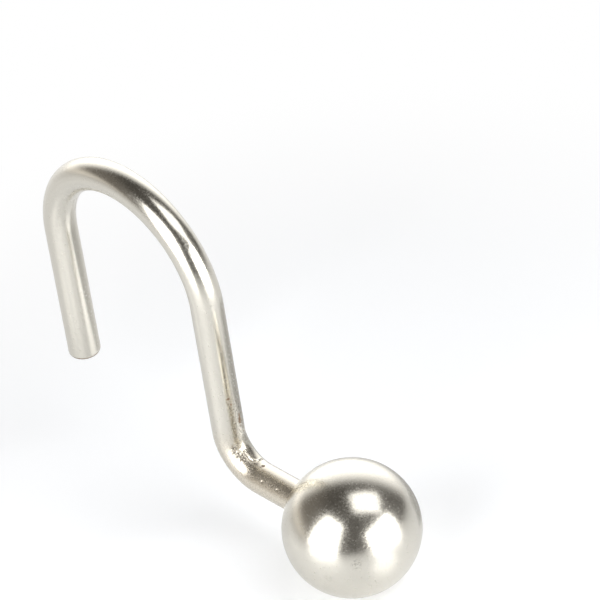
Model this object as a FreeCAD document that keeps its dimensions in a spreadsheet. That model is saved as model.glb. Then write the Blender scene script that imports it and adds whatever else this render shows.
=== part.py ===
import FreeCAD, Part
import Sketcher
import math
import os

# A ball-ended hook for a shower curtain, as it hangs in use. One length of round wire is
# bent over the rod and turned forward at its foot, and a drilled ball is fixed on its end.
# Millimetres, +Z up, +X from the free leg towards the ball. The origin is the top of the
# upper bend's inside, which bears on the rod.

# Driving dimensions, in millimetres and degrees
SIZES = {
    "rod_diameter": 25.4,
    "rod_play": 0.2,
    "wire_diameter": 4.8,
    "free_leg_length": 22.8,
    "long_leg_length": 22.8,
    "foot_bend_radius": 3.7,
    "stub_length": 8.2,
    "tip_rounding": 0.6,
    "ball_diameter": 20.0,
    "seat_depth": 9.0,
    "seat_clearance": 0.02,
    "seat_chamfer": 0.4,
    "drill_point_angle": 118.0,
}

# Sizes worked out from them, that more than one feature or piece shares
SADDLE_RADIUS = "(sizes.rod_diameter + sizes.rod_play) / 2"
WIRE_RADIUS = "sizes.wire_diameter / 2"
TOP_RADIUS = f"({SADDLE_RADIUS} + {WIRE_RADIUS})"
FOOT_RADIUS = f"(sizes.foot_bend_radius + {WIRE_RADIUS})"
FOOT_DROP = f"(sizes.long_leg_length + {FOOT_RADIUS})"
BALL_RADIUS = "sizes.ball_diameter / 2"
SOCKET_RADIUS = f"({WIRE_RADIUS} + sizes.seat_clearance)"
MOUTH_REACH = f"sqrt(({BALL_RADIUS})^2 - {SOCKET_RADIUS}^2)"

# The sketcher's numbers for a curve's ends and centre, and for the sketch's own axes
START = 1
END = 2
CENTER = 3
X_AXIS = -1
ORIGIN = (-1, 1)

HALF_TURN = math.pi
QUARTER_TURN = math.pi / 2
ON_CENTER_LINE = 1e-6


def point(across, up):
    return FreeCAD.Vector(across, up, 0)


def line(start, end):
    return Part.LineSegment(point(*start), point(*end))


def arc(center, radius, first, last):
    circle = Part.Circle(point(*center), FreeCAD.Vector(0, 0, 1), radius)
    return Part.ArcOfCircle(circle, first, last)


def makeSheet(doc):
    sheet = doc.addObject("Spreadsheet::Sheet", "sizes")
    for row, (alias, value) in enumerate(SIZES.items(), start=1):
        sheet.set(f"A{row}", alias)
        sheet.set(f"B{row}", str(value))
        sheet.setAlias(f"B{row}", alias)
    doc.recompute()


def makeBody(doc, name):
    body = doc.addObject("PartDesign::Body", name)
    body.Label = name
    return body


def makeSketch(body, name, role):
    # The sketch lies on one of the body's own planes, and is drawn close to its size
    sketch = body.newObject("Sketcher::SketchObject", name)
    planes = [plane for plane in body.Origin.OriginFeatures if plane.Role == role]
    sketch.AttachmentSupport = (planes[0], [""])
    sketch.MapMode = "FlatFace"
    return sketch


def fix(sketch, kind, *where):
    return sketch.addConstraint(Sketcher.Constraint(kind, *where))


def dimension(sketch, name, expression, kind, *where):
    # A dimension that the sheet drives
    sketch.renameConstraint(fix(sketch, kind, *where), name)
    sketch.setExpression(f"Constraints.{name}", expression)


def rimAt(shape, center):
    # The name of the round edge about this centre
    for number, edge in enumerate(shape.Edges, start=1):
        if isinstance(edge.Curve, Part.Circle) and edge.Curve.Center.distanceToPoint(center) < ON_CENTER_LINE:
            return f"Edge{number}"
    raise RuntimeError(f"no rim at {center}")


def drawCenterLine(body):
    # Free leg, half turn over the rod, long leg, foot bend and stub, about the rod's axis
    top = SIZES["rod_diameter"] / 2
    freeLeg = SIZES["free_leg_length"]
    longLeg = SIZES["long_leg_length"]
    foot = SIZES["foot_bend_radius"]
    stub = SIZES["stub_length"] + SIZES["seat_depth"]
    low = longLeg + foot

    sketch = makeSketch(body, "center_line", "XZ_Plane")
    freeLine = sketch.addGeometry(line((-top, -freeLeg), (-top, 0)))
    topArc = sketch.addGeometry(arc((0, 0), top, 0, HALF_TURN))
    longLine = sketch.addGeometry(line((top, 0), (top, -longLeg)))
    footArc = sketch.addGeometry(arc((top + foot, -longLeg), foot, HALF_TURN, HALF_TURN + QUARTER_TURN))
    stubLine = sketch.addGeometry(line((top + foot, -low), (top + foot + stub, -low)))

    fix(sketch, "Coincident", topArc, CENTER, *ORIGIN)
    fix(sketch, "Tangent", freeLine, END, topArc, END)
    fix(sketch, "Tangent", longLine, START, topArc, START)
    fix(sketch, "Tangent", longLine, END, footArc, START)
    fix(sketch, "Tangent", stubLine, START, footArc, END)
    fix(sketch, "Vertical", freeLine)
    fix(sketch, "Vertical", longLine)
    fix(sketch, "Horizontal", stubLine)
    dimension(sketch, "free_leg", "sizes.free_leg_length", "Distance", freeLine, freeLeg)
    dimension(sketch, "top_radius", TOP_RADIUS, "Radius", topArc, top)
    dimension(sketch, "long_leg", "sizes.long_leg_length", "Distance", longLine, longLeg)
    dimension(sketch, "foot_radius", FOOT_RADIUS, "Radius", footArc, foot)
    dimension(sketch, "stub", "sizes.stub_length + sizes.seat_depth", "Distance", stubLine, stub)
    return sketch


def drawWireSection(body):
    # The round section, across the end of the free leg
    sketch = makeSketch(body, "wire_section", "XY_Plane")
    sketch.setExpression("AttachmentOffset.Base.z", "-sizes.free_leg_length")
    across = SIZES["rod_diameter"] / 2
    radius = SIZES["wire_diameter"] / 2
    circle = sketch.addGeometry(Part.Circle(point(-across, 0), FreeCAD.Vector(0, 0, 1), radius))
    fix(sketch, "PointOnObject", circle, CENTER, X_AXIS)
    dimension(sketch, "leg_offset", TOP_RADIUS, "DistanceX", circle, CENTER, *ORIGIN, across)
    dimension(sketch, "diameter", "sizes.wire_diameter", "Diameter", circle, 2 * radius)
    return sketch


def makeWireHook(doc):
    body = makeBody(doc, "wire_hook")
    centerLine = drawCenterLine(body)
    section = drawWireSection(body)
    doc.recompute()

    wire = body.newObject("PartDesign::AdditivePipe", "bent_wire")
    wire.Profile = section
    wire.Spine = (centerLine, [f"Edge{number}" for number in range(1, len(centerLine.Shape.Edges) + 1)])
    doc.recompute()

    # The free tip is tumbled smooth, and the other end is chamfered to enter the ball
    tip = centerLine.getPoint(0, START)
    seat = centerLine.getPoint(centerLine.GeometryCount - 1, END)
    tipRound = body.newObject("PartDesign::Fillet", "tip_round")
    tipRound.Base = (wire, [rimAt(wire.Shape, FreeCAD.Vector(tip.x, 0, tip.y))])
    tipRound.setExpression("Radius", "sizes.tip_rounding")
    doc.recompute()
    lead = body.newObject("PartDesign::Chamfer", "seat_lead")
    lead.Base = (tipRound, [rimAt(tipRound.Shape, FreeCAD.Vector(seat.x, 0, seat.y))])
    lead.setExpression("Size", "sizes.seat_chamfer")

    body.setExpression("Placement.Base.z", f"-({SADDLE_RADIUS})")
    doc.recompute()
    return body


def drawHalfDisc(body):
    radius = SIZES["ball_diameter"] / 2
    sketch = makeSketch(body, "half_disc", "XZ_Plane")
    rim = sketch.addGeometry(arc((0, 0), radius, 0, HALF_TURN))
    flat = sketch.addGeometry(line((-radius, 0), (radius, 0)))
    fix(sketch, "Coincident", rim, CENTER, *ORIGIN)
    fix(sketch, "Coincident", flat, START, rim, END)
    fix(sketch, "Coincident", flat, END, rim, START)
    fix(sketch, "Horizontal", flat)
    dimension(sketch, "radius", BALL_RADIUS, "Radius", rim, radius)
    return sketch


def drawSocket(body):
    # Half of the drilled socket: open at the ball's back, with a drill point at its bottom
    back = SIZES["ball_diameter"] / 2
    radius = SIZES["wire_diameter"] / 2
    bottom = SIZES["seat_depth"] - back
    pointAngle = SIZES["drill_point_angle"] / 2
    drillTip = bottom + radius / math.tan(math.radians(pointAngle))

    sketch = makeSketch(body, "socket_half", "XZ_Plane")
    mouth = sketch.addGeometry(line((-back, 0), (-back, radius)))
    wall = sketch.addGeometry(line((-back, radius), (bottom, radius)))
    cone = sketch.addGeometry(line((bottom, radius), (drillTip, 0)))
    axis = sketch.addGeometry(line((drillTip, 0), (-back, 0)))
    fix(sketch, "Coincident", mouth, END, wall, START)
    fix(sketch, "Coincident", wall, END, cone, START)
    fix(sketch, "Coincident", cone, END, axis, START)
    fix(sketch, "Coincident", axis, END, mouth, START)
    fix(sketch, "Vertical", mouth)
    fix(sketch, "Horizontal", wall)
    fix(sketch, "Horizontal", axis)
    fix(sketch, "PointOnObject", axis, END, X_AXIS)
    dimension(sketch, "back", BALL_RADIUS, "DistanceX", mouth, START, *ORIGIN, back)
    dimension(sketch, "radius", SOCKET_RADIUS, "Distance", mouth, radius)
    depth = f"{BALL_RADIUS} - {MOUTH_REACH} + sizes.seat_depth"
    dimension(sketch, "depth", depth, "Distance", wall, back + bottom)
    coneAngle = "sizes.drill_point_angle / 2 * 1 deg"
    dimension(sketch, "cone_angle", coneAngle, "Angle", cone, END, axis, START, math.radians(pointAngle))
    return sketch


def makeBallKnob(doc):
    body = makeBody(doc, "ball_knob")
    halfDisc = drawHalfDisc(body)
    ball = body.newObject("PartDesign::Revolution", "ball")
    ball.Profile = halfDisc
    ball.ReferenceAxis = (halfDisc, ["H_Axis"])
    doc.recompute()

    socketHalf = drawSocket(body)
    socket = body.newObject("PartDesign::Groove", "socket")
    socket.Profile = socketHalf
    socket.ReferenceAxis = (socketHalf, ["H_Axis"])

    # The wire's end is seated to the bottom of the socket
    body.setExpression("Placement.Base.x", f"{TOP_RADIUS} + {FOOT_RADIUS} + sizes.stub_length + {MOUTH_REACH}")
    body.setExpression("Placement.Base.z", f"-({SADDLE_RADIUS}) - {FOOT_DROP}")
    doc.recompute()
    return body


def checkDocument(doc, bodies):
    for item in doc.Objects:
        if "Invalid" in item.State or "Error" in item.State:
            raise RuntimeError(f"{item.Label} failed: {item.State}")
    for body in bodies:
        if body.Shape.isNull() or not body.Shape.isValid() or len(body.Shape.Solids) != 1:
            raise RuntimeError(f"{body.Label} is not one valid solid")
        box = body.Shape.BoundBox
        print(f"{body.Label}: {body.Shape.Volume:.1f} mm3, X {box.XMin:.2f} to {box.XMax:.2f}, "
              f"Y {box.YMin:.2f} to {box.YMax:.2f}, Z {box.ZMin:.2f} to {box.ZMax:.2f}")


def main():
    doc = FreeCAD.newDocument("curtain_hook")
    makeSheet(doc)
    bodies = [makeWireHook(doc), makeBallKnob(doc)]
    checkDocument(doc, bodies)
    os.makedirs("parts", exist_ok=True)
    for body in bodies:
        body.Shape.exportStep(f"parts/{body.Label}.step")


main()
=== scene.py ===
import math

import bpy
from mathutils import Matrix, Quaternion, Vector, noise


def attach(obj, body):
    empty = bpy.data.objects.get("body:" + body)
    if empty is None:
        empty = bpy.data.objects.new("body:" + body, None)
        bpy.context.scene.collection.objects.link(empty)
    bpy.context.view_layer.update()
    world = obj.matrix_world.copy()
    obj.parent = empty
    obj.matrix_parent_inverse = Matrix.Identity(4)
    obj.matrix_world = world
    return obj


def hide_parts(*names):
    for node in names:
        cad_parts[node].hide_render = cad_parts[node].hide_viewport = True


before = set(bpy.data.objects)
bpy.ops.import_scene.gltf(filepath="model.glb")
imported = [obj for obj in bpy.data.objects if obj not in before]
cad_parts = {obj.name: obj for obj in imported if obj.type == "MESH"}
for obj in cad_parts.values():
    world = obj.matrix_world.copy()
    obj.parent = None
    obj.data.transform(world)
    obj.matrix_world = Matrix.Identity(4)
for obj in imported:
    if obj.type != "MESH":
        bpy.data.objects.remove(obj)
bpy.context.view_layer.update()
bpy.ops.object.select_all(action="DESELECT")
bpy.context.scene.view_settings.view_transform = "Standard"

mm = 0.001
samePoint = 1e-7  # points closer than this are one, in metres
sameRing = 1e-6
sharpEdge = math.radians(35)  # edges sharper than this stay crisp


def linear(hexColour):
    channels = [int(hexColour[i : i + 2], 16) / 255 for i in (1, 3, 5)]
    curved = [c / 12.92 if c <= 0.04045 else ((c + 0.055) / 1.055) ** 2.4 for c in channels]
    return curved + [1.0]


def addNode(tree, kind, settings=None, inputs=None):
    node = tree.nodes.new(kind)
    for name, value in (settings or {}).items():
        setattr(node, name, value)
    for socket, value in (inputs or {}).items():
        if isinstance(value, bpy.types.NodeSocket):
            tree.links.new(value, node.inputs[socket])
        else:
            node.inputs[socket].default_value = value
    return node


def newSurface(name):
    material = bpy.data.materials.new(name)
    material.use_nodes = True
    material.node_tree.nodes.clear()
    return material, material.node_tree


def direction(azimuth, elevation):
    a, e = math.radians(azimuth), math.radians(elevation)
    return Vector((math.sin(a) * math.cos(e), -math.cos(a) * math.cos(e), math.sin(e)))


# camera: a long lens from above the ball's side, turned a little about its own axis
view = {
    "lens": 324.3,
    "sensor": 36.0,
    "azimuth": 50.743,
    "elevation": 37.754,
    "roll": -9.167,
    "aim": (35.85, 0.0, -2.06),
    "distance": 740.97,
    "nearest": 50.0,
    "farthest": 20000.0,
}

cameraData = bpy.data.cameras.new("camera")
cameraData.lens = view["lens"]
cameraData.sensor_width = view["sensor"]
cameraData.clip_start = view["nearest"] * mm
cameraData.clip_end = view["farthest"] * mm
camera = bpy.data.objects.new("camera", cameraData)
bpy.context.scene.collection.objects.link(camera)
back = direction(view["azimuth"], view["elevation"])
camera.location = (Vector(view["aim"]) + back * view["distance"]) * mm
camera.rotation_mode = "QUATERNION"
roll = Quaternion((0, 0, 1), math.radians(view["roll"]))
camera.rotation_quaternion = (-back).to_track_quat("-Z", "Y") @ roll
bpy.context.scene.camera = camera
print("camera set")


# wire: one ring of points drawn along the bent centre line
wire = {
    "radius": 2.4,
    "topRadius": 15.2,
    "topCentre": -12.8,
    "legLength": 22.8,
    "footRadius": 6.1,
    "stubLength": 17.2,
    "tipRounding": 0.6,
    "tipSegments": 8,
    "sides": 160,
    "topSteps": 96,
    "footSteps": 110,
    # ring to ring: close together where the wire is worn
    "coarseStep": 1.2,
    "tipStep": 0.3,
    "fineStep": 0.15,
    "hiddenStep": 2.2,
    # lengths of the runs: the rounded tip, the free leg above it, the plain part of the long leg,
    # and the stub as far as the ball
    "tipEnd": 1.0,
    "tipRun": 7.2,
    "plainRun": 11.4,
    "seenStub": 8.4,
}

wireTop = wire["legLength"] + math.pi * wire["topRadius"]
wireFoot = wireTop + wire["legLength"]
wireStub = wireFoot + math.pi / 2 * wire["footRadius"]
legEnd = wire["topCentre"] - wire["legLength"]
footCentre = (wire["topRadius"] + wire["footRadius"], legEnd)
stubHeight = legEnd - wire["footRadius"]


def runAlong(axis, stretches):
    for length, step in stretches:
        count = max(1, round(length / step))
        for _ in range(count):
            offset = Vector(axis) * (length / count * mm)
            bpy.ops.mesh.extrude_region_move(TRANSFORM_OT_translate={"value": offset})


def selectRing(mesh, axis, place, side):
    bpy.ops.mesh.select_all(action="DESELECT")
    bpy.ops.object.mode_set(mode="OBJECT")
    for vertex in mesh.vertices:
        inPlane = abs(vertex.co[axis] - place * mm) < sameRing
        vertex.select = inPlane and vertex.co.x * side > 0
    bpy.ops.object.mode_set(mode="EDIT")


bpy.ops.mesh.primitive_circle_add(
    vertices=wire["sides"],
    radius=wire["radius"] * mm,
    fill_type="NOTHING",
    location=(-wire["topRadius"] * mm, 0, legEnd * mm),
)
bentWire = bpy.context.object
bentWire.name = "bent_wire"
bpy.ops.object.transform_apply(location=True, rotation=True, scale=True)
bpy.ops.object.mode_set(mode="EDIT")
bpy.ops.mesh.select_mode(type="VERT")
bpy.ops.mesh.select_all(action="SELECT")
runAlong(
    (0, 0, 1),
    [
        (wire["tipEnd"], wire["tipEnd"]),
        (wire["tipRun"], wire["tipStep"]),
        (wire["legLength"] - wire["tipEnd"] - wire["tipRun"], wire["coarseStep"]),
    ],
)
bpy.ops.mesh.spin(
    steps=wire["topSteps"],
    angle=-math.pi,
    center=(0, 0, wire["topCentre"] * mm),
    axis=(0, 1, 0),
)
runAlong(
    (0, 0, -1),
    [
        (wire["plainRun"], wire["coarseStep"]),
        (wire["legLength"] - wire["plainRun"], wire["fineStep"]),
    ],
)
bpy.ops.mesh.spin(
    steps=wire["footSteps"],
    angle=math.pi / 2,
    center=(footCentre[0] * mm, 0, footCentre[1] * mm),
    axis=(0, 1, 0),
)
runAlong(
    (1, 0, 0),
    [
        (wire["seenStub"], wire["fineStep"]),
        (wire["stubLength"] - wire["seenStub"], wire["hiddenStep"]),
    ],
)
bpy.ops.mesh.edge_face_add()
selectRing(bentWire.data, 2, legEnd, -1)
bpy.ops.mesh.edge_face_add()
bpy.ops.mesh.bevel(
    offset=wire["tipRounding"] * mm,
    offset_type="OFFSET",
    segments=wire["tipSegments"],
    profile=0.5,
    affect="EDGES",
)
bpy.ops.mesh.select_all(action="SELECT")
bpy.ops.mesh.remove_doubles(threshold=samePoint)
bpy.ops.mesh.normals_make_consistent(inside=False)
bpy.ops.object.mode_set(mode="OBJECT")
bpy.ops.object.shade_smooth_by_angle(angle=sharpEdge)
wireSize = [round(v / mm, 2) for v in bentWire.dimensions]
print("wire drawn:", len(bentWire.data.vertices), "points", wireSize)


# ball: turned from a sphere, drilled at the back for the wire
ball = {
    "radius": 10.0,
    "centre": (39.203, 0.0, -41.7),
    "mouthRadius": 2.82,
    "socketRadius": 2.42,
    "chamferDepth": 0.29,
    "socketEnd": 38.52,
    "drillPoint": 1.4,
    "segments": 160,
    "rings": 120,
    # scuffs below the middle: which way each faces, its half width and strength
    "scuffs": [((0.746, -0.647, 0.159), 1.0, 0.6), ((0.426, -0.901, -0.087), 0.9, 0.5)],
}

bpy.ops.object.select_all(action="DESELECT")
bpy.ops.mesh.primitive_uv_sphere_add(
    segments=ball["segments"],
    ring_count=ball["rings"],
    radius=ball["radius"] * mm,
    location=Vector(ball["centre"]) * mm,
    rotation=(0, math.pi / 2, 0),
)
ballKnob = bpy.context.object
ballKnob.name = "ball"
bpy.ops.object.transform_apply(location=True, rotation=True, scale=True)
mouth = ball["centre"][0] - math.sqrt(ball["radius"] ** 2 - ball["mouthRadius"] ** 2)
axisHeight = ball["centre"][2] * mm
bpy.ops.object.mode_set(mode="EDIT")
bpy.ops.mesh.select_mode(type="VERT")
bpy.ops.mesh.select_all(action="SELECT")
# the default threshold is wider than the rings are apart here
bpy.ops.mesh.bisect(
    plane_co=(mouth * mm, 0, axisHeight),
    plane_no=(1, 0, 0),
    clear_inner=True,
    threshold=samePoint,
)
runAlong((1, 0, 0), [(ball["chamferDepth"], ball["chamferDepth"])])
narrow = ball["socketRadius"] / ball["mouthRadius"]
socketTop = mouth + ball["chamferDepth"]
bpy.ops.transform.resize(
    value=(1, narrow, narrow),
    center_override=(socketTop * mm, 0, axisHeight),
)
socketLength = ball["socketEnd"] - socketTop
runAlong((1, 0, 0), [(socketLength, socketLength), (ball["drillPoint"], ball["drillPoint"])])
bpy.ops.mesh.merge(type="CENTER")
bpy.ops.mesh.select_all(action="SELECT")
bpy.ops.mesh.remove_doubles(threshold=samePoint)
bpy.ops.mesh.normals_make_consistent(inside=False)
bpy.ops.object.mode_set(mode="OBJECT")
bpy.ops.object.shade_smooth_by_angle(angle=sharpEdge)
ballMesh = ballKnob.data
ballMesh.attributes.new("pitted", "FLOAT", "POINT")
scuffed = ballMesh.attributes["pitted"].data
for index, vertex in enumerate(ballMesh.vertices):
    spot = vertex.co / mm - Vector(ball["centre"])
    for facing, reach, strength in ball["scuffs"]:
        near = (spot - Vector(facing) * ball["radius"]).length / reach
        scuffed[index].value = max(scuffed[index].value, strength * (1 - near * near))
ballSize = [round(v / mm, 2) for v in ballKnob.dimensions]
print("ball turned:", len(ballMesh.vertices), "points", ballSize)


# place of a point on the straightened wire: across, across, along, in millimetres
def straighten(point):
    x, y, z = point / mm
    if z >= wire["topCentre"]:
        bend = math.atan2(z - wire["topCentre"], -x)
        outward = math.hypot(x, z - wire["topCentre"]) - wire["topRadius"]
        return outward, -y, wire["legLength"] + wire["topRadius"] * bend
    if x < 0:
        return -wire["topRadius"] - x, -y, z - legEnd
    if z >= legEnd and x < footCentre[0]:
        return x - wire["topRadius"], -y, wireTop + wire["topCentre"] - z
    if x < footCentre[0]:
        bend = math.atan2(footCentre[1] - z, footCentre[0] - x)
        inward = wire["footRadius"] - math.hypot(x - footCentre[0], z - footCentre[1])
        return inward, -y, wireFoot + wire["footRadius"] * bend
    return z - stubHeight, -y, wireStub + x - footCentre[0]


# wear on the wire: millimetres along from the free tip, and degrees of turn round the wire
wear = {
    # points further out than this share of the radius are on the wire's side
    "skin": 0.8,
    # pits: along, turn, length, width, depth, rust
    "pits": [
        (86.0, 22.0, 0.45, 0.6, 0.04, 0.85),
        (86.5, 17.0, 0.4, 0.5, 0.03, 0.5),
        (86.6, 24.5, 0.4, 0.4, 0.03, 0.5),
        (87.1, 15.5, 0.45, 0.45, 0.05, 0.8),
        (87.2, -14.0, 0.3, 0.3, 0.04, 0.4),
        (87.2, 4.0, 0.3, 0.35, 0.03, 0.4),
        (89.8, -13.5, 1.3, 0.3, 0.03, 0.7),
        (90.6, -11.5, 1.3, 0.55, 0.06, 1.0),
        (91.0, -19.0, 0.35, 0.35, 0.05, 0.6),
        (90.6, 12.0, 0.3, 0.25, 0.03, 0.3),
        (91.6, -12.0, 0.45, 0.4, 0.05, 0.5),
        (92.9, 5.0, 0.35, 0.3, 0.03, 0.3),
        (93.0, -24.0, 0.4, 0.4, 0.05, 0.6),
        (95.1, 35.2, 0.6, 0.5, 0.1, 0.4),
        (96.3, 33.0, 0.7, 0.5, 0.1, 0.4),
        (98.8, 27.2, 0.5, 0.3, 0.06, 0.4),
        (103.15, -3.0, 0.5, 0.5, 0.08, 0.9),
        (103.05, 7.0, 0.3, 0.3, 0.04, 0.8),
        (104.7, 48.5, 0.42, 0.38, 0.11, 0.0),
        (107.8, 47.5, 0.36, 0.36, 0.1, 0.0),
        (6.6, 93.0, 0.4, 0.3, 0.03, 0.2),
        (5.0, 94.0, 0.35, 0.3, 0.03, 0.2),
        (3.7, 126.0, 0.3, 0.3, 0.03, 0.3),
        (3.2, 125.0, 0.3, 0.3, 0.03, 0.2),
        (28.8, -166.0, 0.5, 0.4, 0.04, 0.0),
        (30.2, 176.0, 0.4, 0.4, 0.04, 0.0),
    ],
    # how steeply a pit's depth and its rust fall off, and where they end
    "pitFall": 1.5,
    "rustFall": 0.7,
    "pitEdge": 4,
    # fold that the bending tool left across the inside of the foot bend
    "fold": [
        (97.4, 8.7),
        (98.7, 7.7),
        (99.6, 8.6),
        (100.35, 6.0),
        (100.9, 0.0),
        (101.15, -11.0),
        (101.2, -27.0),
    ],
    "foldReach": 1,
    "foldTurn": 60,
    "foldWidth": 0.13,
    "foldDepth": 0.12,
    "lipOffset": 0.27,
    "lipHeight": 0.08,
    # wrinkled plating: along, turn, half length, half width, height and size of the wrinkles
    "wrinkled": [(96.9, 32.0, 2.9, 0.9, 0.06, 0.5), (98.6, 14.0, 2.2, 0.8, 0.02, 0.5)],
    # pitted stretches: along, turn, half length, half width
    "pitted": [(90.5, -4.0, 6.5, 1.6), (99.0, 30.0, 6.0, 1.5), (105.5, 38.0, 6.0, 1.2)],
    # the free tip turns brown and dull towards its very end: length and strength
    "tipBrowning": (0.65, 0.85),
    # brown bloom on the near side of the foot: middle, the side it faces, and half length
    "tarnished": (104.0, 50.0, 13.0),
}


def across(turn, other):
    return wire["radius"] * math.radians((turn - other + 180) % 360 - 180)


def fade(along, turn, place):
    u = (along - place[0]) / place[2]
    v = across(turn, place[1]) / place[3]
    return max(0.0, 1 - u * u - v * v)


# nearest point of the fold: distance from it, and which side of it along the wire
def nearFold(along, turn):
    best, side = math.inf, 0.0
    for (a, s), (b, t) in zip(wear["fold"], wear["fold"][1:]):
        dx, dy = b - a, across(t, s)
        x, y = along - a, across(turn, s)
        share = min(1.0, max(0.0, (x * dx + y * dy) / (dx * dx + dy * dy)))
        gapX, gapY = x - share * dx, y - share * dy
        if math.hypot(gapX, gapY) < best:
            best, side = math.hypot(gapX, gapY), dx * gapY - dy * gapX
    return best, side


def wearAt(along, turn):
    sink, rust = 0.0, 0.0
    for pitAlong, pitTurn, length, width, depth, brown in wear["pits"]:
        u = (along - pitAlong) / (length / 2)
        v = across(turn, pitTurn) / (width / 2)
        near = u * u + v * v
        if near < wear["pitEdge"]:
            sink += depth * math.exp(-wear["pitFall"] * near)
            rust = max(rust, brown * math.exp(-wear["rustFall"] * near))
    foldStart = wear["fold"][0][0] - wear["foldReach"]
    foldEnd = wear["fold"][-1][0] + wear["foldReach"]
    if foldStart < along < foldEnd and abs(turn) < wear["foldTurn"]:
        gap, side = nearFold(along, turn)
        sink += wear["foldDepth"] * math.exp(-((gap / wear["foldWidth"]) ** 2))
        if side < 0:
            fromLip = (gap - wear["lipOffset"]) / wear["foldWidth"]
            sink -= wear["lipHeight"] * math.exp(-(fromLip**2))
    for stretch in wear["wrinkled"]:
        wrinkle = fade(along, turn, stretch)
        if wrinkle > 0:
            height, size = stretch[4:]
            spot = Vector((along, across(turn, 0), 0)) / size
            sink += height * wrinkle * noise.noise(spot)
    pitted = max(fade(along, turn, stretch) for stretch in wear["pitted"])
    # the free tip's very end takes the rust colour and dullness, fading out over the given length
    browningLength, browning = wear["tipBrowning"]
    rust = max(rust, browning * (1 - (along / browningLength) ** 2))
    middle, facing, reach = wear["tarnished"]
    bloom = max(0.0, 1 - ((along - middle) / reach) ** 2)
    tarnish = bloom * max(0.0, math.cos(math.radians(turn - facing)))
    return sink, rust, pitted, tarnish


wireMesh = bentWire.data
resting = [(vertex.co.copy(), vertex.normal.copy()) for vertex in wireMesh.vertices]
wireMesh.attributes.new("drawn", "FLOAT_VECTOR", "POINT")
wearNames = ("rusted", "pitted", "tarnished")
for name in wearNames:
    wireMesh.attributes.new(name, "FLOAT", "POINT")
drawn = wireMesh.attributes["drawn"].data
wearLayers = [wireMesh.attributes[name].data for name in wearNames]
for index, (point, normal) in enumerate(resting):
    outward, sideways, along = straighten(point)
    drawn[index].vector = Vector((outward, sideways, along)) * mm
    if math.hypot(outward, sideways) > wear["skin"] * wire["radius"]:
        sink, *shares = wearAt(along, math.degrees(math.atan2(sideways, outward)))
        wireMesh.vertices[index].co = point - normal * (sink * mm)
        for layer, share in zip(wearLayers, shares):
            layer[index].value = share
print("wire worn at the foot bend")


# satin nickel plate on steel: a warm pale metal whose fine grain softens every reflection
# real grain and drawing lines are about a tenth as wide: they are drawn coarser so that they show
nickel = {
    "pale": "#DEDAD0",
    "deep": "#D6D2C7",
    "roughness": (0.2, 0.28),
    "cloudRoughness": 0.6,  # of every noise
    "cloudRange": (0.3, 0.7),  # where most of a noise lies
    "grain": 0.3,
    "grainDetail": 1.5,
    "grainHeight": 0.005,
    "streakWidth": 0.3,
    "streakLength": 30.0,
    "streakDetail": 3.0,
    "speck": 0.2,
    "speckDetail": 2.0,
    "speckEdge": (0.51, 0.61),
    "speckHeight": 0.01,
    "speckColour": "#6F6656",
    "tarnish": "#D9D0C0",
    "tarnishRoughness": 0.04,
    "tarnishDull": 0.08,
    "rustColour": "#75604A",
    "rustGrain": 0.22,
    "rustDetail": 2.0,
    "rustRagged": (0.5, 1.5),
    "rustEdge": (0.25, 0.6),
    "rustRoughness": 0.6,
    "rustDull": 0.75,
}


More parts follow.
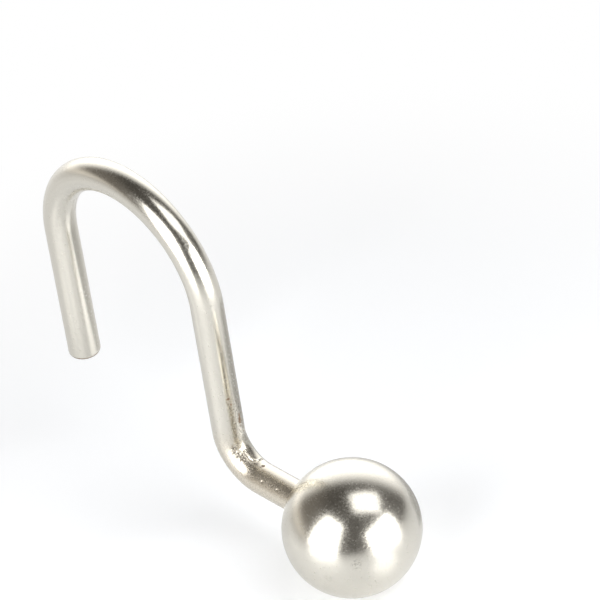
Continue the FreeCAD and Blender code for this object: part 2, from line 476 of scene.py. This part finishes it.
def satinNickel(name, worn):
    material, tree = newSurface(name)
    if worn:
        # the streaks run along the wire, as it was drawn
        place = addNode(tree, "ShaderNodeAttribute", {"attribute_name": "drawn"}).outputs["Vector"]
        stretch = (1, 1, nickel["streakWidth"] / nickel["streakLength"])
    else:
        place = addNode(tree, "ShaderNodeTexCoord").outputs["Object"]
        stretch = (1, 1, 1)
    lengthwise = addNode(
        tree, "ShaderNodeMapping", None, {"Vector": place, "Scale": stretch}
    ).outputs[0]
    streak = addNode(
        tree,
        "ShaderNodeTexNoise",
        None,
        {
            "Vector": lengthwise,
            "Scale": 1 / (nickel["streakWidth"] * mm),
            "Detail": nickel["streakDetail"],
            "Roughness": nickel["cloudRoughness"],
        },
    ).outputs[0]
    grain = addNode(
        tree,
        "ShaderNodeTexNoise",
        None,
        {
            "Vector": place,
            "Scale": 1 / (nickel["grain"] * mm),
            "Detail": nickel["grainDetail"],
            "Roughness": nickel["cloudRoughness"],
        },
    ).outputs[0]
    colour = addNode(
        tree,
        "ShaderNodeMix",
        {"data_type": "RGBA"},
        {0: streak, 6: linear(nickel["pale"]), 7: linear(nickel["deep"])},
    ).outputs[2]
    smooth, coarse = nickel["roughness"]
    least, most = nickel["cloudRange"]
    rough = addNode(
        tree,
        "ShaderNodeMapRange",
        None,
        {"Value": grain, "From Min": least, "From Max": most, "To Min": smooth, "To Max": coarse},
    ).outputs[0]
    bump = addNode(
        tree,
        "ShaderNodeBump",
        None,
        {"Height": grain, "Distance": nickel["grainHeight"] * mm, "Strength": 1.0},
    ).outputs[0]
    # dark specks where the plating is pitted
    pitShare = addNode(tree, "ShaderNodeAttribute", {"attribute_name": "pitted"}).outputs["Fac"]
    speckled = addNode(
        tree,
        "ShaderNodeTexNoise",
        None,
        {
            "Vector": place,
            "Scale": 1 / (nickel["speck"] * mm),
            "Detail": nickel["speckDetail"],
            "Roughness": nickel["cloudRoughness"],
        },
    ).outputs[0]
    clear, dark = nickel["speckEdge"]
    peaks = addNode(
        tree, "ShaderNodeMapRange", None, {"Value": speckled, "From Min": clear, "From Max": dark}
    ).outputs[0]
    speck = addNode(
        tree, "ShaderNodeMath", {"operation": "MULTIPLY"}, {0: peaks, 1: pitShare}
    ).outputs[0]
    colour = addNode(
        tree,
        "ShaderNodeMix",
        {"data_type": "RGBA"},
        {0: speck, 6: colour, 7: linear(nickel["speckColour"])},
    ).outputs[2]
    bump = addNode(
        tree,
        "ShaderNodeBump",
        {"invert": True},
        {"Height": speck, "Distance": nickel["speckHeight"] * mm, "Strength": 1.0, "Normal": bump},
    ).outputs[0]
    metal = 1.0
    if worn:
        # a thin brown tarnish round the foot
        tarnish = addNode(
            tree, "ShaderNodeAttribute", {"attribute_name": "tarnished"}
        ).outputs["Fac"]
        colour = addNode(
            tree,
            "ShaderNodeMix",
            {"data_type": "RGBA"},
            {0: tarnish, 6: colour, 7: linear(nickel["tarnish"])},
        ).outputs[2]
        rough = addNode(
            tree,
            "ShaderNodeMath",
            {"operation": "MULTIPLY_ADD"},
            {0: tarnish, 1: nickel["tarnishRoughness"], 2: rough},
        ).outputs[0]
        metal = addNode(
            tree,
            "ShaderNodeMath",
            {"operation": "MULTIPLY_ADD"},
            {0: tarnish, 1: -nickel["tarnishDull"], 2: metal},
        ).outputs[0]
        # rust that breaks through in ragged spots, dull and rough
        rustShare = addNode(
            tree, "ShaderNodeAttribute", {"attribute_name": "rusted"}
        ).outputs["Fac"]
        rustClouds = addNode(
            tree,
            "ShaderNodeTexNoise",
            None,
            {
                "Vector": place,
                "Scale": 1 / (nickel["rustGrain"] * mm),
                "Detail": nickel["rustDetail"],
                "Roughness": nickel["cloudRoughness"],
            },
        ).outputs[0]
        thin, thick = nickel["rustRagged"]
        ragged = addNode(
            tree,
            "ShaderNodeMapRange",
            None,
            {
                "Value": rustClouds,
                "From Min": least,
                "From Max": most,
                "To Min": thin,
                "To Max": thick,
            },
        ).outputs[0]
        spots = addNode(
            tree, "ShaderNodeMath", {"operation": "MULTIPLY"}, {0: rustShare, 1: ragged}
        ).outputs[0]
        bright, brown = nickel["rustEdge"]
        rust = addNode(
            tree,
            "ShaderNodeMapRange",
            None,
            {"Value": spots, "From Min": bright, "From Max": brown},
        ).outputs[0]
        colour = addNode(
            tree,
            "ShaderNodeMix",
            {"data_type": "RGBA"},
            {0: rust, 6: colour, 7: linear(nickel["rustColour"])},
        ).outputs[2]
        rough = addNode(
            tree,
            "ShaderNodeMix",
            {"data_type": "FLOAT"},
            {0: rust, 2: rough, 3: nickel["rustRoughness"]},
        ).outputs[0]
        metal = addNode(
            tree,
            "ShaderNodeMath",
            {"operation": "MULTIPLY_ADD"},
            {0: rust, 1: -nickel["rustDull"], 2: metal},
        ).outputs[0]
    shader = addNode(
        tree,
        "ShaderNodeBsdfPrincipled",
        None,
        {"Base Color": colour, "Metallic": metal, "Roughness": rough, "Normal": bump},
    )
    addNode(tree, "ShaderNodeOutputMaterial", None, {"Surface": shader.outputs[0]})
    return material


bentWire.data.materials.append(satinNickel("satin_nickel_wire_finish", True))
ballKnob.data.materials.append(satinNickel("satin_nickel_ball_finish", False))
for piece, node, slotName in (
    (bentWire, "wire_hook", "satin_nickel_wire"),
    (ballKnob, "ball_knob", "satin_nickel_ball"),
):
    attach(piece, "root")
    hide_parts(node)
print("satin nickel given to both pieces")


# studio: a white floor, softboxes in front, to the side and above, and a white wall behind
studio = {
    "floorHeight": -51.7,
    "floorSize": 5000.0,
    "floorColour": "#F9FBFE",
    "floorLift": 0.148,
    # the floor is plain white to the camera from this far round the hook
    "whiteMiddle": (25.0, 10.0),
    "whiteFrom": 36.0,
    "whiteBy": 105.0,
    # the metal sees the floor whiter further off
    "whiteToMetal": {"near": 0.15, "far": 0.8, "from": 35.0, "by": 150.0},
    "floorGloss": 0.35,
    "floorIndex": 1.3,
    "roomRadius": 3000.0,
    "roomFaces": (64, 32),
    "wallDim": (0.065, "#FFF5E8"),
    # pale parts of the wall: azimuth and elevation of the middle, half angles of the bright part
    # and of its fringe, how many times wider than high it is, level and colour
    "pale": [
        ((-133, 5), 8, 64, 1, 2.0, "#FFFFFF"),
        ((-62, -6), 14, 48, 2, 0.75, "#FFFAF3"),
        ((-62, 10), 10, 60, 1, 0.12, "#FFF5E8"),
        ((160, 14), 12, 34, 1, 0.06, "#FFFFFF"),
    ],
    # painted shade: a grey sheet on the floor behind the hook that only the metal sees, standing
    # in for shadow there, which darkens the far edges of the legs
    "card": {
        "centre": (10.0, 40.0),
        "size": (74.0, 40.0),
        "lift": 0.2,
        "level": (0.85, 0.5),
        "from": -22.0,
        "to": 22.0,
    },
    # light that the side softbox throws on the floor, as the metal shows it:
    # middle, half length, half width, level
    "poolEdge": (1.0, 0.4),
    "pools": [
        (27.0, 12.0, 14.0, 15.0, 0.7),
        (12.0, 11.0, 15.0, 15.0, 0.42),
        (69.0, -2.0, 20.0, 11.0, 0.75),
        (-21.0, -38.0, 17.0, 16.0, 0.3),
        (9.0, -30.0, 16.0, 14.0, 0.17),
    ],
    "lamps": {
        "front_softbox": {
            "shape": "RECTANGLE",
            "place": (49, -152, 42),
            "faces": (49, 0, 42),
            "size": (128, 188),
            "turn": -10,
            "level": 4.0,
        },
        "side_softbox": {
            "shape": "RECTANGLE",
            "place": (628, 118, 110),
            "faces": (39, 0, 110),
            "size": (570, 324),
            "turn": 6,
            "level": 7.0,
        },
        "overhead": {
            "shape": "RECTANGLE",
            "place": (130, 62, 169),
            "faces": (39, 0, -42),
            "size": (188, 143),
            "turn": 117,
            "level": 2.05,
        },
    },
}


bpy.ops.object.select_all(action="DESELECT")
bpy.ops.mesh.primitive_plane_add(
    size=studio["floorSize"] * mm,
    location=(0, 0, studio["floorHeight"] * mm),
)
floor = bpy.context.object
floor.name = "studio_floor"
floorPaint, tree = newSurface("white_floor")
path = addNode(tree, "ShaderNodeLightPath")
toCamera = path.outputs["Is Camera Ray"]
mirrored = {0: path.outputs["Is Glossy Ray"], 1: path.outputs["Is Transmission Ray"]}
toMetal = addNode(tree, "ShaderNodeMath", {"operation": "MAXIMUM"}, mirrored).outputs[0]
spot = addNode(tree, "ShaderNodeTexCoord").outputs["Object"]
middle = Vector((*studio["whiteMiddle"], 0)) * mm
away = addNode(
    tree, "ShaderNodeVectorMath", {"operation": "DISTANCE"}, {0: spot, 1: middle}
).outputs["Value"]
farOff = addNode(
    tree,
    "ShaderNodeMapRange",
    {"interpolation_type": "SMOOTHSTEP"},
    {"Value": away, "From Min": studio["whiteFrom"] * mm, "From Max": studio["whiteBy"] * mm},
).outputs[0]
whiteFar = addNode(
    tree, "ShaderNodeMath", {"operation": "MULTIPLY"}, {0: farOff, 1: toCamera}
).outputs[0]
mirroredWhite = studio["whiteToMetal"]
whiteToMetal = addNode(
    tree,
    "ShaderNodeMapRange",
    {"interpolation_type": "SMOOTHSTEP"},
    {
        "Value": away,
        "From Min": mirroredWhite["from"] * mm,
        "From Max": mirroredWhite["by"] * mm,
        "To Min": mirroredWhite["near"],
        "To Max": mirroredWhite["far"],
    },
).outputs[0]
share = addNode(
    tree,
    "ShaderNodeMath",
    {"operation": "MULTIPLY_ADD"},
    {0: toMetal, 1: whiteToMetal, 2: whiteFar},
).outputs[0]
lift = addNode(
    tree, "ShaderNodeMath", {"operation": "MULTIPLY"}, {0: toCamera, 1: studio["floorLift"]}
).outputs[0]
rim, core = studio["poolEdge"]
for x, y, length, width, level in studio["pools"]:
    stretched = addNode(
        tree,
        "ShaderNodeMapping",
        {"vector_type": "TEXTURE"},
        {"Vector": spot, "Location": (x * mm, y * mm, 0), "Scale": (length * mm, width * mm, 1)},
    )
    radius = addNode(
        tree, "ShaderNodeVectorMath", {"operation": "LENGTH"}, {0: stretched.outputs[0]}
    )
    pool = addNode(
        tree,
        "ShaderNodeMapRange",
        {"interpolation_type": "SMOOTHSTEP"},
        {"Value": radius.outputs["Value"], "From Min": rim, "From Max": core, "To Max": level},
    )
    lift = addNode(
        tree,
        "ShaderNodeMath",
        {"operation": "MULTIPLY_ADD"},
        {0: toMetal, 1: pool.outputs[0], 2: lift},
    ).outputs[0]
matt = addNode(tree, "ShaderNodeBsdfDiffuse", None, {"Color": linear(studio["floorColour"])})
lifted = addNode(tree, "ShaderNodeEmission", None, {"Color": (1, 1, 1, 1), "Strength": lift})
lit = addNode(tree, "ShaderNodeAddShader", None, {0: matt.outputs[0], 1: lifted.outputs[0]})
glow = addNode(tree, "ShaderNodeEmission", None, {"Color": (1, 1, 1, 1), "Strength": 1.0})
sheet = addNode(
    tree, "ShaderNodeMixShader", None, {0: share, 1: lit.outputs[0], 2: glow.outputs[0]}
)
gloss = addNode(
    tree,
    "ShaderNodeBsdfGlossy",
    None,
    {"Color": (1, 1, 1, 1), "Roughness": studio["floorGloss"]},
)
fresnel = addNode(tree, "ShaderNodeFresnel", None, {"IOR": studio["floorIndex"]})
sheen = addNode(
    tree, "ShaderNodeMath", {"operation": "MULTIPLY"}, {0: fresnel.outputs[0], 1: toMetal}
)
mixed = addNode(
    tree,
    "ShaderNodeMixShader",
    None,
    {0: sheen.outputs[0], 1: sheet.outputs[0], 2: gloss.outputs[0]},
)
addNode(tree, "ShaderNodeOutputMaterial", None, {"Surface": mixed.outputs[0]})
floor.data.materials.append(floorPaint)

# the room round the table: dim, and white behind the hook
bpy.ops.object.select_all(action="DESELECT")
roomSegments, roomRings = studio["roomFaces"]
bpy.ops.mesh.primitive_uv_sphere_add(
    segments=roomSegments,
    ring_count=roomRings,
    radius=studio["roomRadius"] * mm,
)
room = bpy.context.object
room.name = "studio_room"
roomPaint, tree = newSurface("room_wall")
place = addNode(tree, "ShaderNodeTexCoord")
dimLevel, dimColour = studio["wallDim"]
wall = addNode(
    tree, "ShaderNodeEmission", None, {"Color": linear(dimColour), "Strength": dimLevel}
)
for towards, inside, outside, flat, level, colour in studio["pale"]:
    flatten = Vector((1, 1, flat))
    flattened = addNode(
        tree,
        "ShaderNodeVectorMath",
        {"operation": "MULTIPLY"},
        {0: place.outputs["Object"], 1: flatten},
    )
    outward = addNode(
        tree, "ShaderNodeVectorMath", {"operation": "NORMALIZE"}, {0: flattened.outputs[0]}
    )
    facing = addNode(
        tree,
        "ShaderNodeVectorMath",
        {"operation": "DOT_PRODUCT"},
        {0: outward.outputs[0], 1: (direction(*towards) * flatten).normalized()},
    )
    strength = addNode(
        tree,
        "ShaderNodeMapRange",
        {"interpolation_type": "SMOOTHSTEP"},
        {
            "Value": facing.outputs["Value"],
            "From Min": math.cos(math.radians(outside)),
            "From Max": math.cos(math.radians(inside)),
            "To Max": level,
        },
    )
    patch = addNode(
        tree,
        "ShaderNodeEmission",
        None,
        {"Color": linear(colour), "Strength": strength.outputs[0]},
    )
    wall = addNode(tree, "ShaderNodeAddShader", None, {0: wall.outputs[0], 1: patch.outputs[0]})
addNode(tree, "ShaderNodeOutputMaterial", None, {"Surface": wall.outputs[0]})
room.data.materials.append(roomPaint)
room.visible_camera = False

bpy.ops.object.select_all(action="DESELECT")
cardSheet = studio["card"]
cardPlace = Vector((*cardSheet["centre"], studio["floorHeight"] + cardSheet["lift"])) * mm
bpy.ops.mesh.primitive_plane_add(size=mm, location=cardPlace)
card = bpy.context.object
card.name = "painted_shade_card"
card.scale = (*cardSheet["size"], 1)
bpy.ops.object.transform_apply(location=True, rotation=True, scale=True)
cardPaint, tree = newSurface("painted_shade_card")
spot = addNode(tree, "ShaderNodeTexCoord").outputs["Object"]
lengthwise = addNode(tree, "ShaderNodeSeparateXYZ", None, {0: spot}).outputs["X"]
grey = addNode(
    tree,
    "ShaderNodeMapRange",
    None,
    {
        "Value": lengthwise,
        "From Min": cardSheet["from"] * mm,
        "From Max": cardSheet["to"] * mm,
        "To Min": cardSheet["level"][0],
        "To Max": cardSheet["level"][1],
    },
)
# painted shade: the sheet glows a dim grey, darker towards +X, and only glossy rays see it
cardGlow = addNode(
    tree, "ShaderNodeEmission", None, {"Color": (1, 1, 1, 1), "Strength": grey.outputs[0]}
)
addNode(tree, "ShaderNodeOutputMaterial", None, {"Surface": cardGlow.outputs[0]})
card.data.materials.append(cardPaint)
card.visible_camera = card.visible_diffuse = card.visible_shadow = False

for name, lamp in studio["lamps"].items():
    light = bpy.data.lights.new(name, "AREA")
    light.shape = lamp["shape"]
    light.size, light.size_y = (side * mm for side in lamp["size"])
    light.energy = lamp["level"] * math.pi * light.size * light.size_y
    softbox = bpy.data.objects.new(name, light)
    bpy.context.scene.collection.objects.link(softbox)
    softbox.location = Vector(lamp["place"]) * mm
    softbox.rotation_mode = "QUATERNION"
    ahead = (Vector(lamp["faces"]) - Vector(lamp["place"])).to_track_quat("-Z", "Y")
    softbox.rotation_quaternion = ahead @ Quaternion((0, 0, 1), math.radians(lamp["turn"]))
    softbox.visible_camera = False

world = bpy.data.worlds.new("studio")
world.use_nodes = True
bpy.context.scene.world = world
tree = world.node_tree
tree.nodes.clear()
white = addNode(tree, "ShaderNodeBackground", None, {"Color": (1, 1, 1, 1), "Strength": 1.0})
addNode(tree, "ShaderNodeOutputWorld", None, {"Surface": white.outputs[0]})
print("studio lit")
